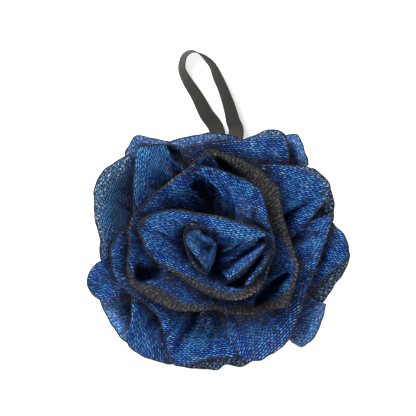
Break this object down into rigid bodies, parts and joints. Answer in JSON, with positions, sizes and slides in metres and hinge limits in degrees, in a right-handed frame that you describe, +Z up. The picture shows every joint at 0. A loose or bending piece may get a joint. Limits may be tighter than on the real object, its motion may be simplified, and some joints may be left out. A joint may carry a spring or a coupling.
{
  "type": "mesh bath pouf",
  "caption": "Rose-form bath pouf of gathered blue plastic net with a black ribbon hanging loop, lying on its back.",
  "frame": {"origin": "centre of the flat underside of the gathered middle, on the surface that the pouf lies on", "axes": "+Z up through the rose, +Y towards the hanging loop"},
  "size_m": [0.1258, 0.1547, 0.0673],
  "materials": {
    "net": "knitted polyethylene net, glossy blue tape yarn with black threads and a dark selvage",
    "ribbon": "black grosgrain ribbon, fine cross ribs, satin",
    "cord": "twisted synthetic cord, matt black"
  },
  "bodies": {
    "root": {"net_rose": "net", "hanging_loop": "ribbon", "tie_cord": "cord"}
  },
  "joints": []
}
